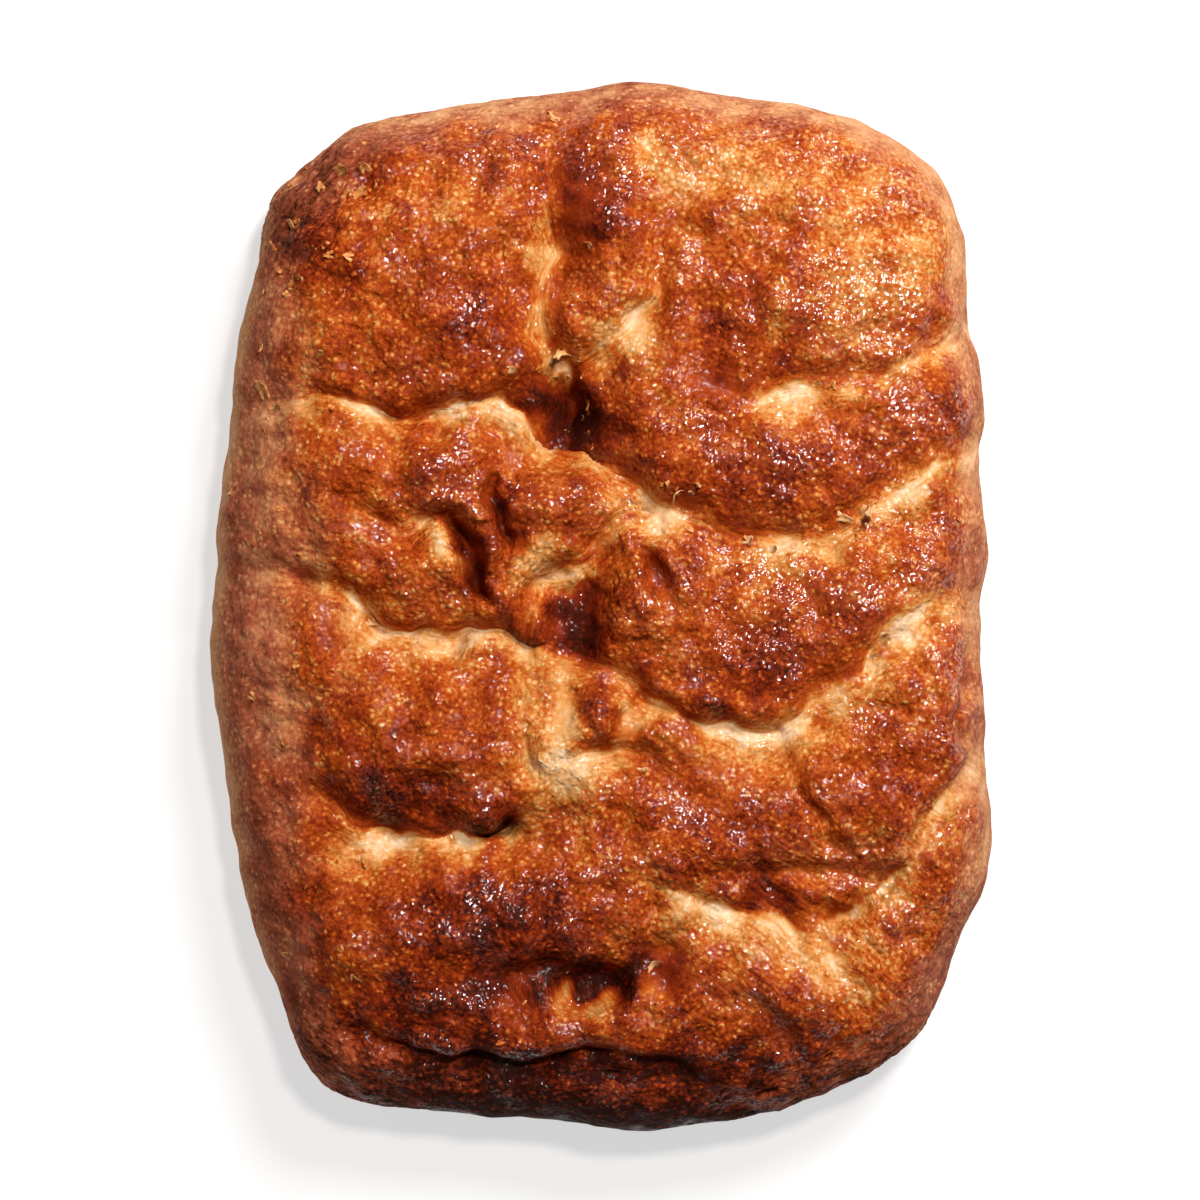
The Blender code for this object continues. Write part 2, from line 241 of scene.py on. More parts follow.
# Waves of the crust in every direction: mean length, height, seed
RIPPLES = [(42.0, 0.8, 5), (20.0, 0.95, 6), (10.5, 0.46, 7), (5.6, 0.17, 8), (3.4, 0.07, 9)]
RIPPLE_WAVES = 26
RIPPLE_SPREAD = (0.65, 1.5)
RIM_RIPPLES = 0.45

# Thin wrinkles that wander between the waves: their spacing, depth, width against the spacing, seed
CREASES = [(17.0, 0.9, 0.22, 81), (9.0, 0.6, 0.28, 83)]
WANDERS = [(24.0, 1.0, 1), (9.5, 0.6, 3), (4.5, 0.16, 13)]

# Stretched skin: centre x and y, half width, half length, turn of the patch, way of the wrinkles, their
# length and height, how clearly threads show, seed
Wrinkles = namedtuple("Wrinkles", "x y across along turn way length height pull seed")
WRINKLES = [Wrinkles(*row) for row in (
    (42, -78, 34, 30, 0, -38, 3.4, 0.55, 0.9, 21), (68, -92, 22, 24, 0, -48, 3.2, 0.45, 0.9, 22),
    (-10, -121, 62, 8, 0, 2, 2.8, 0.8, 1.0, 23), (-92, -5, 14, 90, 0, 82, 4.6, 0.16, 0.2, 24),
    (10, 128, 60, 9, 0, -2, 3.0, 0.3, 0.5, 25), (92, 20, 10, 70, 0, 84, 3.2, 0.2, 0.4, 26),
    (-74, 104, 20, 20, 0, 44, 2.6, 0.95, 1.0, 27), (62, -122, 36, 13, 20, 26, 3.0, 1.2, 1.0, 31),
    (-66, -118, 26, 14, -20, -30, 2.8, 0.6, 1.0, 32), (-40, 126, 30, 8, 10, 8, 2.6, 0.6, 0.8, 33),
    (-4, 48, 10, 8, 0, 60, 2.6, 0.35, 0.5, 28), (-10, -99, 22, 8, 0, -70, 2.8, 0.5, 0.9, 29),
    (82, -70, 16, 26, 0, -60, 3.0, 0.3, 0.8, 30),
)]

# Steam blisters under the skin: spacing, height, share of cells that have one, seed
BLISTERS = [(6.2, 0.5, 0.45, 41), (3.4, 0.35, 0.6, 42)]
BLISTER_DRAWS = 512
BLISTER_LEAST_RADIUS = 0.28
BLISTER_MORE_RADIUS = 0.42
CELL_STEPS = (73, 179)

# Torn scraps of skin that stand off the crust: x, y, length, width, turn in degrees, tilt up at the free
# end in degrees, curl in degrees along the length, and how raw they are
Flake = namedtuple("Flake", "x y length width turn tilt curl bare")
FLAKES = [Flake(*row) for row in (
    (-19.5, -9.5, 5.0, 1.5, 84, 40, 16, 1.0), (66.0, 24.0, 8.0, 4.2, 10, 10, 130, 0.9),
    (60, 23.0, 5.0, 2.6, -8, 12, 80, 0.8), (-9.5, 64.5, 7.0, 3.2, 68, 16, 100, 0.7),
    (20.5, 29.0, 5.2, 2.6, 150, 18, 90, 0.7), (24, 30.5, 3.8, 2.0, 60, 20, 80, 0.8),
    (17.5, 31.5, 3.2, 2.0, 200, 16, 70, 0.5), (-86, 53, 6.0, 3.6, 100, 8, 50, 0.5),
    (-84, 50.5, 4.4, 2.6, 20, 10, 70, 0.5), (-68, 111, 5.4, 3.4, 30, 12, 80, 0.4),
    (-60, 111, 4.4, 3.0, 110, 14, 70, 0.4), (-51, -24, 2.4, 1.8, 0, 8, 40, 0.6),
    (-57, -5.5, 4.4, 2.2, -30, 12, 80, 1.0), (-60, -3.5, 3.2, 1.8, -40, 14, 60, 1.0),
    (36, 17, 5.6, 2.2, -10, 9, 100, 1.0), (42, 14.5, 4.4, 2.0, 8, 10, 90, 1.0),
    (-3, 91, 3.4, 2.2, 80, 12, 80, 0.6), (-24, 60, 3.8, 2.2, 10, 12, 80, 0.7),
    (9, -41, 3.8, 1.8, -20, 10, 60, 1.0), (12, -93.5, 5.0, 2.2, 60, 12, 90, 0.9),
    (71, -8, 4.4, 2.2, 50, 10, 80, 0.9), (68, -14, 3.8, 1.9, 60, 10, 70, 0.9),
    (-72, 63, 3.6, 2.0, 70, 6, 40, 0.3), (-77, 70, 2.8, 1.8, 30, 6, 40, 0.2),
    (-70, 92, 4.0, 2.6, 130, 10, 60, 0.3), (-63, 104, 4.6, 3.0, 60, 9, 60, 0.3),
    (-79, 98, 4.0, 2.6, 10, 9, 60, 0.2),
)]
FLAKE_CELLS = 8
FLAKE_TAPER = 0.65
FLAKE_THICKNESS = 0.22
FLAKE_SINK = 0.12
STEEPEST_UNDER_FLAKE = 0.35
FLAKE_DROP_HEIGHT = 200

# Small scraps drawn at random: length, width against length, tilt, curl and how raw, each low and high
SCRAP_LENGTH = (1.0, 2.9)
SCRAP_WIDTH = (0.5, 0.9)
SCRAP_TILT = (2, 9)
SCRAP_CURL = (10, 45)
SCRAP_BARE = (0.0, 0.7)
SCRAP_SEED = 101

# Ovals that the small scraps lie in: centre x and y, width, length, number
FLAKE_SPREAD = [(-72, 100, 26, 26, 26), (-4, 48, 10, 12, 8), (20, 29, 10, 5, 9), (-82, 30, 16, 70, 34),
                (60, 20, 30, 8, 12), (70, 56, 22, 5, 8), (-6, 80, 8, 30, 10), (0, -104, 40, 8, 10),
                (-70, -70, 18, 40, 14), (92, 20, 8, 80, 16), (0, 126, 80, 8, 16)]


class CrustSettings(bpy.types.PropertyGroup):
    """Sizes of the loaf's crust and shares of its relief and shine."""
    cells_across: IntProperty(name="Cells Across", description="Mesh cells across", default=240, min=20)
    cells_along: IntProperty(name="Cells Along", description="Mesh cells along", default=320, min=20)
    cells_up: IntProperty(name="Cells Up", description="Mesh cells up the lower wall", default=16, min=3)
    fold_depth: FloatProperty(name="Fold Depth", description="Share of the full depth of the folds",
                              default=1.0, min=0.0, max=1.5, subtype="FACTOR")
    blister_rise: FloatProperty(name="Blister Rise", description="Share of the full height of the blisters",
                                default=1.0, min=0.0, max=2.0, subtype="FACTOR")
    mottle_size: FloatProperty(name="Mottle Size", description="Mean size of the mottling", default=0.0042,
                               unit="LENGTH")
    grain_size: FloatProperty(name="Grain Size", description="Mean size of the skin's fine grain",
                              default=0.0011, unit="LENGTH")
    blister_size: FloatProperty(name="Blister Size", description="Mean spacing of the pinhead blisters",
                                default=0.0016, unit="LENGTH")
    fibre_size: FloatProperty(name="Fibre Size", description="Mean width of the stretched threads of dough",
                              default=0.0011, unit="LENGTH")
    oil_shine: FloatProperty(name="Oil Shine", description="Weight of the oil film", default=1.0, min=0.0,
                             max=1.0, subtype="FACTOR")


class StageSettings(bpy.types.PropertyGroup):
    """Camera, light and floor of the studio."""
    lens: FloatProperty(name="Lens", description="Focal length of the camera, mm", default=150.0)
    field: FloatProperty(name="Field", description="Width of the picture at the loaf's widest line",
                         default=0.312, unit="LENGTH")
    key_bearing: FloatProperty(name="Key Bearing", description="Way of the key light, clockwise from +Y",
                               default=math.radians(32), subtype="ANGLE")
    key_height: FloatProperty(name="Key Height", description="Height of the key light above the horizon",
                              default=math.radians(46), subtype="ANGLE")
    key_power: FloatProperty(name="Key Power", description="Power of the key light, W", default=15.6)
    key_size: FloatProperty(name="Key Size", description="Width of the key light", default=0.4,
                            unit="LENGTH")
    glint_height: FloatProperty(name="Glint Height",
                                description="Height of the glint light above the horizon",
                                default=math.radians(70), subtype="ANGLE")
    glint_power: FloatProperty(name="Glint Power", description="Power of the glint light, W", default=9.5)
    glint_size: FloatProperty(name="Glint Size", description="Width of the glint light", default=0.15,
                              unit="LENGTH")
    glint_colour: FloatVectorProperty(name="Glint Colour", description="Colour of the glint light",
                                      default=(1.0, 0.92, 0.82), size=3, subtype="COLOR", min=0.0, max=1.0)
    fill: FloatProperty(name="Fill", description="Strength of the light from all round", default=0.1)
    floor: FloatVectorProperty(name="Floor", description="Floor colour", default=(0.415, 0.425, 0.44),
                               size=3, subtype="COLOR", min=0.0, max=1.0)
    floor_glow: FloatProperty(name="Floor Glow", description="Light from under the translucent white floor",
                              default=0.62, min=0.0)


def smooth_path(points, steps, closed=False):
    """A curve through the points, each span cut into equal steps."""
    given = np.asarray(points, dtype=float)
    count = len(given)
    path = []
    for span in range(count if closed else count - 1):
        if closed:
            before, start, end, after = (given[(span + offset) % count] for offset in (-1, 0, 1, 2))
        else:
            start, end = given[span], given[span + 1]
            before = given[span - 1] if span else 2 * start - end
            after = given[span + 2] if span + 2 < count else 2 * end - start
        for step in range(steps):
            t = step / steps
            path.append(0.5 * (2 * start + (end - before) * t
                               + (2 * before - 5 * start + 4 * end - after) * t ** 2
                               + (3 * start - before - 3 * end + after) * t ** 3))
    if not closed:
        path.append(given[-1])
    return np.array(path)


def soft_step(value, low, high):
    """Zero below low, one above high and smooth between."""
    t = np.clip((value - low) / (high - low), 0, 1)
    return t * t * (3 - 2 * t)


def outline_reach(angle):
    """Distance from the middle to the silhouette in each direction."""
    path = smooth_path(OUTLINE, OUTLINE_STEPS, closed=True)
    bearing = np.arctan2(path[:, 1], path[:, 0])
    order = np.argsort(bearing)
    reach = np.hypot(path[:, 0], path[:, 1])
    return np.interp(angle, bearing[order], reach[order], period=2 * math.pi)


def ripple(x, y, z, length, seed, way=None, stretch=1.0):
    """Sum of waves in random directions, about one unit high, drawn out along a way if one is given."""
    draw = np.random.default_rng(seed)
    if way is not None:
        cosine, sine = math.cos(math.radians(way)), math.sin(math.radians(way))
        x, y = (x * cosine + y * sine) / stretch, y * cosine - x * sine
        z = z * 0.6
    total = np.zeros(x.shape)
    for _ in range(RIPPLE_WAVES):
        push = draw.normal(size=3)
        push *= draw.uniform(*RIPPLE_SPREAD) * 2 * math.pi / length / np.linalg.norm(push)
        total += np.cos(push[0] * x + push[1] * y + push[2] * z + draw.uniform(0, 2 * math.pi))
    return total / math.sqrt(RIPPLE_WAVES)


def waves(x, y, z, table):
    """Sum of ripples, one for each (length, height, seed) of a table."""
    return sum(height * ripple(x, y, z, length, seed) for length, height, seed in table)


def follow(x, y, points):
    """For each place: distance to a path, left positive, the path's own length, depth and paleness there,
    and the way to the left."""
    path = smooth_path(points, PATH_STEPS)
    nearest = np.full(x.shape, math.inf)
    depth, pale, left, left_x, left_y, travelled = (np.zeros(x.shape) for _ in range(6))
    behind = 0.0
    for start, end in zip(path[:-1], path[1:]):
        run = end[:2] - start[:2]
        length = math.hypot(*run)
        along = np.clip(((x - start[0]) * run[0] + (y - start[1]) * run[1]) / length ** 2, 0, 1)
        off_x = x - start[0] - along * run[0]
        off_y = y - start[1] - along * run[1]
        off = np.hypot(off_x, off_y)
        closer = off < nearest
        nearest[closer] = off[closer]
        depth[closer] = (start[2] + along * (end[2] - start[2]))[closer]
        pale[closer] = (start[3] + along * (end[3] - start[3]))[closer]
        left[closer] = (run[0] * off_y - run[1] * off_x)[closer]
        left_x[closer] = -run[1] / length
        left_y[closer] = run[0] / length
        travelled[closer] = behind + along[closer] * length
        behind += length
    return np.where(left > 0, nearest, -nearest), travelled, depth, pale, left_x, left_y


def spot(x, y, shape):
    """Squared distance from a turned oval, one on its edge."""
    cosine, sine = math.cos(math.radians(shape.turn)), math.sin(math.radians(shape.turn))
    across = ((x - shape.x) * cosine + (y - shape.y) * sine) / shape.across
    along = ((y - shape.y) * cosine - (x - shape.x) * sine) / shape.along
    return across ** 2 + along ** 2


def blisters(x, y, spacing, share, seed):
    """Low round domes scattered one to a cell, zero to one high."""
    draw = np.random.default_rng(seed)
    table = draw.uniform(size=(4, BLISTER_DRAWS))
    height = np.zeros(x.shape)
    column, row = np.floor(x / spacing).astype(int), np.floor(y / spacing).astype(int)
    for step_x in (-1, 0, 1):
        for step_y in (-1, 0, 1):
            cell_x, cell_y = column + step_x, row + step_y
            pick = (cell_x * CELL_STEPS[0] + cell_y * CELL_STEPS[1]) % BLISTER_DRAWS
            centre_x = (cell_x + table[0][pick]) * spacing
            centre_y = (cell_y + table[1][pick]) * spacing
            radius = spacing * (BLISTER_LEAST_RADIUS + BLISTER_MORE_RADIUS * table[2][pick])
            inside = 1 - ((x - centre_x) ** 2 + (y - centre_y) ** 2) / radius ** 2
            dome = np.sqrt(np.clip(inside, 0, 1)) * radius / spacing
            height = np.maximum(height, np.where(table[3][pick] < share, dome, 0))
    return height


def pillow(u, v, level):
    """The plain loaf from cube coordinates: places, distance in from the silhouette, and bearing."""
    half_along = max(y for _, y in OUTLINE)
    half_across = max(x for x, _ in OUTLINE)
    angle = np.arctan2(v * half_along, u * half_across)
    edge = outline_reach(angle)
    ring = np.maximum(np.abs(u), np.abs(v))
    shoulder = SHOULDER_MEAN - SHOULDER_LEFT_EXTRA * np.cos(angle)
    rise = CROWN_HEIGHT - WIDEST_HEIGHT
    quarter = 0.5 * math.pi * np.sqrt((shoulder ** 2 + rise ** 2) / 2)
    arc = (1 - ring) * (edge - shoulder + quarter)
    turn = np.clip(arc / quarter, 0, 1) * 0.5 * math.pi
    inward = shoulder * (1 - np.cos(turn)) + np.maximum(arc - quarter, 0)
    lift = rise * (1 - (1 - np.sin(turn)) ** (SHOULDER_POWER / 2))
    middle = np.cos(0.5 * math.pi * (1 - inward / edge))
    dome = DOME_RISE * np.clip(inward / shoulder, 0, 1) ** 2 * middle ** 2
    sweep = (1 - level) * TUCK_SWEEP
    tuck = TUCK_IN * (1 - np.cos(sweep))
    on_top = level > 0.9999
    reach = edge - np.where(on_top, inward, tuck)
    wall = WIDEST_HEIGHT * (1 - np.sin(sweep) / math.sin(TUCK_SWEEP))
    z = np.where(on_top, WIDEST_HEIGHT + lift + dome, wall)
    plain = np.stack([reach * np.cos(angle), reach * np.sin(angle), z], axis=1)
    return plain, np.where(on_top, inward, 0.0), angle


def crust_relief(plain, inward, settings):
    """The crust over the plain loaf, per vertex: its height, its sideways lean in folds, how pale and how
    smooth it is, and the skin coordinates and strength of its stretch marks."""
    x, y, z = plain.T
    bent_x, bent_y = x.copy(), y.copy()
    for length, reach, seed in WANDERS:
        bent_x += reach * ripple(x, y, z, length, seed)
        bent_y += reach * ripple(x, y, z, length, seed + 1)
    height, pale, sunk, smooth, valley, streak, rival = (np.zeros(x.shape) for _ in range(7))
    lean, stretch = np.zeros((len(x), 3)), np.zeros((len(x), 3))
    flat = soft_step(inward, 2.0, 16.0)
    ragged = np.maximum(LIP_RAGS_MEAN + waves(x, y, z, LIP_RAGS), LIP_RAGS_LEAST)
    for number, fold in enumerate(FOLDS):
        side, travelled, depth, bare, left_x, left_y = follow(bent_x, bent_y, fold.points)
        depth *= 1 + DEPTH_SWING * ripple(x, y, z, DEPTH_SWING_LENGTH, DEPTH_SEED + number)
        change = PALE_SWING * ripple(x, y, z, PALE_SWING_LENGTH, PALE_SEED + number)
        bare = bare * np.clip(PALE_MEAN + change, PALE_LEAST, 1.0)
        share = np.clip(side / (STEEP_SHARE * fold.steep), 0, 1)
        wall = 1 - share ** 2 * (3 - 2 * share)
        slope = (1 - np.clip((np.sqrt(side ** 2 + 1.0) - 1.0) / fold.gentle, 0, 1)) ** 2
        fall = np.where(side > 0, wall, slope)
        sunk += (depth * fall) ** 3
        valley = np.maximum(valley, VALLEY_SHARE * depth * np.exp(-(side / VALLEY_WIDTH) ** 2))
        lip = np.where(side > 0, 4 * share * (1 - share), 0)
        weight = fold.lean * (depth / FULL_LEAN_DEPTH) ** LEAN_POWER * lip
        lean[:, 0] -= weight * left_x
        lean[:, 1] -= weight * left_y
        reach = np.where(side > 0, fold.pale_wall, fold.pale_slope)
        core = np.exp(-(side / (PALE_CORE_REACH * reach * ragged)) ** 2)
        halo = np.exp(-(side / (PALE_HALO_REACH * reach)) ** 2)
        shown = np.clip(depth / PALE_FROM_DEPTH, 0, 1)
        pale = np.maximum(pale, bare * (PALE_CORE * core + PALE_HALO * halo) * shown)
        drawn = np.where(side > 0, fall, 0.5 * fall) * np.clip(depth / SMOOTH_FROM_DEPTH, 0, 1)
        smooth = np.maximum(smooth, drawn)
        pull = PULL * np.exp(-(side / PULL_REACH) ** 2) * np.clip(depth / PULL_FROM_DEPTH, 0, 1)
        stronger = pull > streak
        rival = np.maximum(rival, np.minimum(pull, streak))
        streak = np.where(stronger, pull, streak)
        across, along = (side / STREAK_STRETCH, travelled) if number in COMBED_ACROSS else (
            side, travelled / STREAK_STRETCH)
        skin = np.stack([across, along, np.full(x.shape, FOLD_SKIN_GAP * number)], axis=1)
        stretch[stronger] = skin[stronger]
    height -= settings.fold_depth * (np.cbrt(sunk) + valley)
    for hollow in HOLLOWS:
        dip = np.exp(-HOLLOW_EDGE * spot(bent_x, bent_y, hollow) ** hollow.wall)
        height -= settings.fold_depth * hollow.depth * dip
        smooth = np.maximum(smooth, dip)
    for lobe in LOBES:
        height += lobe.rise * np.exp(-spot(bent_x, bent_y, lobe))
    for length, amount, width, seed in CREASES:
        line = np.exp(-(ripple(bent_x, bent_y, z, length, seed) / width) ** 2)
        shown = soft_step(ripple(x, y, z, 2.2 * length, seed + 1), -0.3, 0.9)
        height -= amount * line * shown * (1 - smooth) * flat
    for length, amount, seed in RIPPLES:
        spread = RIM_RIPPLES + (1 - RIM_RIPPLES) * flat
        height += amount * ripple(x, y, z, length, seed) * (1 - 0.6 * smooth) * spread
    for skin in WRINKLES:
        where = np.exp(-spot(x, y, skin) ** WRINKLE_EDGE)
        wave = ripple(bent_x, bent_y, z, skin.length, skin.seed, way=skin.way, stretch=WRINKLE_STRETCH)
        height -= skin.height * where * np.abs(wave) * (1 - 0.4 * smooth)
        cosine, sine = math.cos(math.radians(skin.way)), math.sin(math.radians(skin.way))
        stronger = skin.pull * where > streak
        rival = np.maximum(rival, np.minimum(skin.pull * where, streak))
        streak = np.where(stronger, skin.pull * where, streak)
        along, across = bent_x * cosine + bent_y * sine, bent_y * cosine - bent_x * sine
        sheet = 0.5 * z + WRINKLE_SKIN_GAP * skin.seed
        threads = np.stack([across, along / STREAK_STRETCH, sheet], axis=1)
        stretch[stronger] = threads[stronger]
    for spacing, amount, share, seed in BLISTERS:
        domes = blisters(x, y, spacing, share, seed)
        height += settings.blister_rise * amount * domes * (1 - smooth) * flat
    clear = np.clip((streak - rival) / (RIVAL_MARGIN * streak + 1e-6), 0, 1)
    return height, lean, pale, smooth, stretch, streak * clear


# A turned oval on the crust: x, y, half width, half length, turn in degrees, amount
Stain = namedtuple("Stain", "x y across along turn amount")

# Dark ovals at the foot of the wall: mostly painted shade of the wall turned away from the key, partly char
FOOT_SHADE_AND_CHAR = [Stain(*row) for row in (
    (-12, -140, 66, 17, 0, 0.46), (-10, -119, 50, 4, 0, 0.24), (-56, -104, 24, 10, 0, 0.14),
    (30, -122, 26, 5, 10, 0.12),
)]

# Pools of oil, which glint, and places wiped dry
OIL_POOLS = [Stain(*row) for row in (
    (57, 74, 8, 7, 0, 0.8), (66, 76, 17, 13, 0, 0.6), (76, 50, 14, 10, 0, 0.4), (38, 37, 12, 6, 0, 0.3),
    (90, 12, 9, 12, 0, 0.5), (48, 5, 20, 10, 0, 0.4), (0, 31, 9, 6, 0, 0.4), (15, 5, 5, 8, 0, 0.5),
    (90, -14, 9, 16, 0, 0.5), (0, -25, 4, 5, 0, 0.5), (-6.5, -103.5, 7, 4, 0, 1.0),
    (-28, -98, 3, 8, 10, 0.6), (68, -66, 12, 6, 0, 0.5), (-39, 36, 7, 6, 0, 0.8),
    (66, 75, 12, 10, 0, 0.7), (-10, 118, 60, 10, 0, 0.2), (74, 60, 6, 10, 0, 0.4),
    (-11, 27, 8, 6, 0, 0.5), (12, 8, 4, 9, 0, 0.4), (55, 2, 10, 6, 20, 0.4),
    (-10, -140, 80, 18, 0, -0.35), (-78, 60, 26, 60, 0, -0.5), (-75, -70, 26, 50, 0, -0.4),
)]

# Browning from raw dough to char, where the skin is oiled and where it is dusty
OILED_CRUST = [(0.0, "#EBC9A4"), (0.12, "#E0B384"), (0.26, "#D4995C"), (0.4, "#C27A38"), (0.54, "#B04F16"),
               (0.68, "#93360E"), (0.82, "#742309"), (0.92, "#571808"), (1.0, "#381107")]
DUSTY_CRUST = [(0.0, "#EDCDA8"), (0.26, "#DCA679"), (0.48, "#C18357"), (0.66, "#9B5037"), (0.82, "#74351F"),
               (0.94, "#43200F"), (1.0, "#241008")]

# Places of strong browning (+) and of gold or pale crust (-). The dark ovals on the finger hollows, slots
# and the hollow and valley at the foot (at -7,-3; -8,49; -34.6,12; -26.5,23; -26.5,-56; 13.5,9.5; 16,-92;
# -10,-97;
# 0,-96; -10,-116) are painted shade in those recesses, and the pale oval at 63,75 is a painted highlight on
# the lobe that faces the key
BROWNING_SHADE_AND_LIGHT_STAINS = [Stain(*row) for row in (
    (-5, 104, 8, 15, 0, 0.21), (43, 63, 10, 8, 0, 0.1), (47, 31, 18, 9, 0, 0.12),
    (45, -16, 12, 9, 0, 0.19), (14, 38, 8, 8, 0, 0.11), (-31, 70, 14, 14, 0, 0.1),
    (-46, -50, 22, 7, -6, 0.26), (42, -73, 16, 5, -10, 0.19), (60, -80, 8, 4, 0, 0.14),
    (-7, -3, 8, 11, 0, 0.46), (-8, 49, 13, 8, -30, 0.46), (-34.6, 12, 3.6, 12, 25, 0.4),
    (-26.5, 23, 2.6, 11, 8, 0.24), (-39, 34, 8, 8, 0, 0.1), (-10, -97, 26, 8, 0, 0.24),
    (-32, -84, 22, 12, 0, 0.13), (-10, -116, 60, 8, 0, 0.17), (-30, -78, 30, 12, 0, 0.14),
    (-26.5, -56, 6, 3.5, 14, 0.4), (-46, -103, 20, 9, 0, 0.12), (13.5, 9.5, 3, 7, 22, 0.22),
    (-72, 106, 20, 14, 35, 0.15), (16, -92, 8, 6, 0, 0.14), (-82, -79, 8, 6, 0, 0.09),
    (-83, -44, 8, 12, 0, 0.05), (-86, -57, 6, 6, 0, 0.06), (22, 112, 20, 10, 0, -0.23),
    (65, 105, 30, 22, 0, -0.17), (72, 88, 20, 10, 0, -0.14), (-35, 108, 22, 10, 0, -0.11),
    (-62, 98, 6, 9, 0, -0.23), (8, 70, 9, 7, 0, -0.36), (-9, -27, 5, 14, 0, -0.28),
    (-1, -25, 5.5, 5.5, 0, 0.26), (7, -27, 4, 8, 0, -0.26), (27, -24, 5, 3, 0, 0.16),
    (-6, -42, 9, 7, 0, -0.38), (-16, -35, 10, 16, 0, -0.14), (-18, 90, 6, 5, 0, -0.34),
    (-17, 74, 3, 8, 0, -0.31), (-43.5, 17, 3.0, 8, 20, -0.42), (-13, 42, 14, 4, -35, -0.18),
    (48, 51, 7, 4, 10, -0.32), (15, 24, 7, 4, -20, -0.23), (-16, 12, 8, 5, 20, -0.27),
    (38, -32, 14, 5, 0, -0.23), (78, -4, 9, 6, 35, -0.2), (42, 12, 16, 4, 0, -0.2),
    (-6, -103.5, 6, 3.4, -20, -0.42), (0, -96, 12, 4.4, 0, 0.52), (-56, -5.5, 7.5, 3.6, -32, -0.5),
    (-40, -10, 10, 2.4, 0, -0.3), (-55, -60.5, 8, 2.6, 0, -0.26), (63, 75, 17, 11, 0, -0.17),
    (-24, 49, 8, 3, -30, -0.3), (12, -98, 6, 4, 60, -0.27), (30, -76, 8, 4, -10, -0.18),
    (44, -88.5, 24, 4.5, -26, -0.2), (79, -60, 20, 4.5, 46, -0.17), (66, -86, 10, 6, -40, -0.2),
    (-52, -62, 12, 4, 0, -0.23), (-78, 20, 20, 40, 0, -0.04),
)]

# Mean browning, its waves (length, height, seed), and how the bend of its patches wanders
BAKE_MEAN = 0.61
BAKE_WAVES = [(34.0, 0.04, 63), (14.0, 0.05, 64), (6.5, 0.045, 65)]
PATCH_BEND = 2.5
PATCH_BEND_LENGTH = 12.0
PATCH_EDGE = 1.3

# The left wall is calmer and browner, with painted shade as it is turned from the key; its edge at the
# floor is paler, with painted light as if thrown up from the floor; the rim differs from the top, and the
# foot is darker, with painted shade
LEFT_WALL_REACH = 24.0
LEFT_WALL_CALM = 0.6
# Painted shade that darkens the left wall, the side turned from the key
LEFT_WALL_SHADE_TONE = 0.09
# Painted light that makes the left edge at the floor paler, as if lit by light thrown up from the floor
LEFT_EDGE_REACH = 5.0
LEFT_EDGE_LIGHT_TONE = 0.27
RIM_REACH = 13.0
RIM_TONE = 0.06
# Painted shade that darkens the foot, the wall turned away from the key
FOOT_SHADE_TONE = 0.24
FOOT_FROM = 0.55
RISE_TONE = 0.01
DARKEST_TOP = 0.95
# Painted shade on the smooth skin of fold walls and finger hollows, except where the dough is pale
HOLLOW_SHADE_TONE = 0.06
PALE_SHARE = 0.78
PALE_LIFT = 0.03


def browning(plain, inward, angle, height, pale, smooth):
    """How far the crust has browned at each vertex, zero for raw dough and one for char, with painted shade
    laid into the hollows, folds, left wall and foot, and painted light on the left edge and on the lobe
    that faces the key.
    """
    x, y, z = plain.T
    bent_x = x + PATCH_BEND * ripple(x, y, z, PATCH_BEND_LENGTH, 61)
    bent_y = y + PATCH_BEND * ripple(x, y, z, PATCH_BEND_LENGTH, 62)
    left_wall = np.clip(-np.cos(angle), 0, 1) * (1 - soft_step(inward, 0.0, LEFT_WALL_REACH))
    patches = waves(x, y, z, BAKE_WAVES) * (1 - LEFT_WALL_CALM * left_wall)
    # The left wall is darkened by painted shade, as the side turned from the key
    tone = BAKE_MEAN + patches + LEFT_WALL_SHADE_TONE * left_wall
    # Browning ovals, some of them painted shade in the hollows and one a painted highlight on the lit lobe
    for stain in BROWNING_SHADE_AND_LIGHT_STAINS:
        tone += stain.amount * np.exp(-spot(bent_x, bent_y, stain) ** PATCH_EDGE)
    tone += RISE_TONE * np.clip(height, -4, 6)
    rim = 1 - soft_step(inward, 0.0, RIM_REACH)
    foot = np.clip((-np.sin(angle) - FOOT_FROM) / (1 - FOOT_FROM), 0, 1)
    left_edge = np.clip(-np.cos(angle), 0, 1) * (1 - soft_step(inward, 0.0, LEFT_EDGE_REACH))
    # Painted shade darkens the foot and painted light makes the left edge at the floor paler
    tone += rim * (FOOT_SHADE_TONE * foot - RIM_TONE) - LEFT_EDGE_LIGHT_TONE * left_edge
    tone = np.minimum(tone, DARKEST_TOP + (1 - DARKEST_TOP) * rim)
    # Painted shade in the folds and hollows
    tone += HOLLOW_SHADE_TONE * smooth * (1 - pale)
    # Painted shade at the foot of the wall, with some char
    for stain in FOOT_SHADE_AND_CHAR:
        tone += stain.amount * np.exp(-spot(bent_x, bent_y, stain) ** PATCH_EDGE)
    return np.clip(tone * (1 - PALE_SHARE * pale) - PALE_LIFT * pale, 0, 1)


# Width of the dusty rim on any side, what the left and the foot add to it, and its change along the rim
DUSTY_RIM = 9
DUSTY_LEFT = 20
DUSTY_FOOT = 2
DUSTY_WAVES = [(18.0, 0.22, 71)]
FOOT_OILED = 0.6


